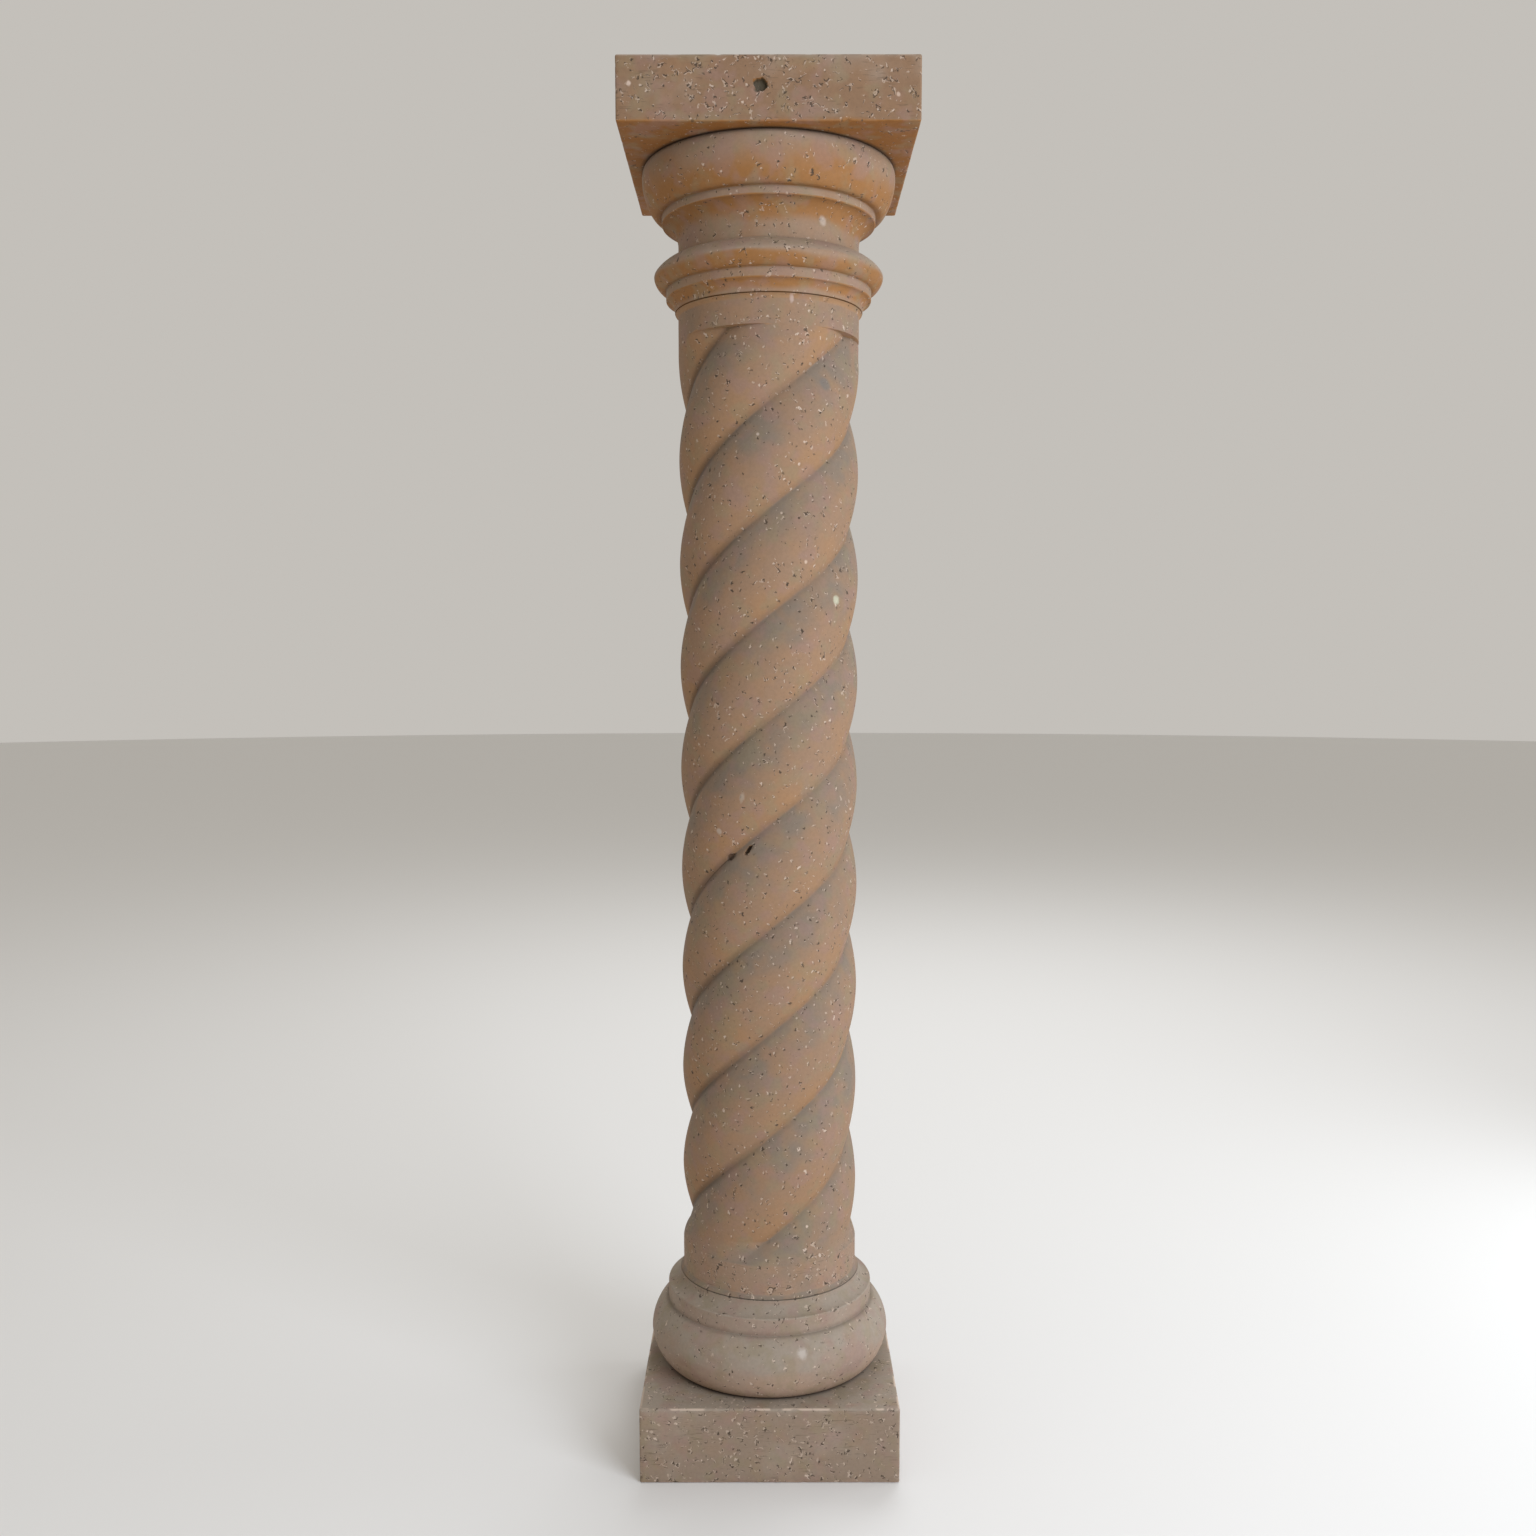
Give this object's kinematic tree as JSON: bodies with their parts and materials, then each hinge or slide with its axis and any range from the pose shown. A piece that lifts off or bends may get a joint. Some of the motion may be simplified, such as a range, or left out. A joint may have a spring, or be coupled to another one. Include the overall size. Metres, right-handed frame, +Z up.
{
  "type": "barley twist column",
  "caption": "Carved stone column with a square plinth and torus base, a barley twist shaft with plain end bands, and a turned capital under a square abacus.",
  "frame": {"origin": "centre of the plinth's underside, on the ground", "axes": "+Z up along the column, +X and +Y square to the plinth's sides, the pictured front towards -Y"},
  "size_m": [0.5, 0.5, 2.44],
  "materials": {
    "base_stone": "rubbed volcanic stone, grey brown with pinkish patches, pale flecks and fine dark pits",
    "shaft_stone": "rubbed volcanic stone, pinkish brown with orange tan and grey olive clouds, pale flecks and fine dark pits",
    "capital_stone": "rubbed volcanic stone, warm brown with orange tan clouds, pale flecks and fine dark pits"
  },
  "bodies": {
    "root": {"base": "base_stone", "twisted_shaft": "shaft_stone", "capital": "capital_stone"}
  },
  "joints": []
}
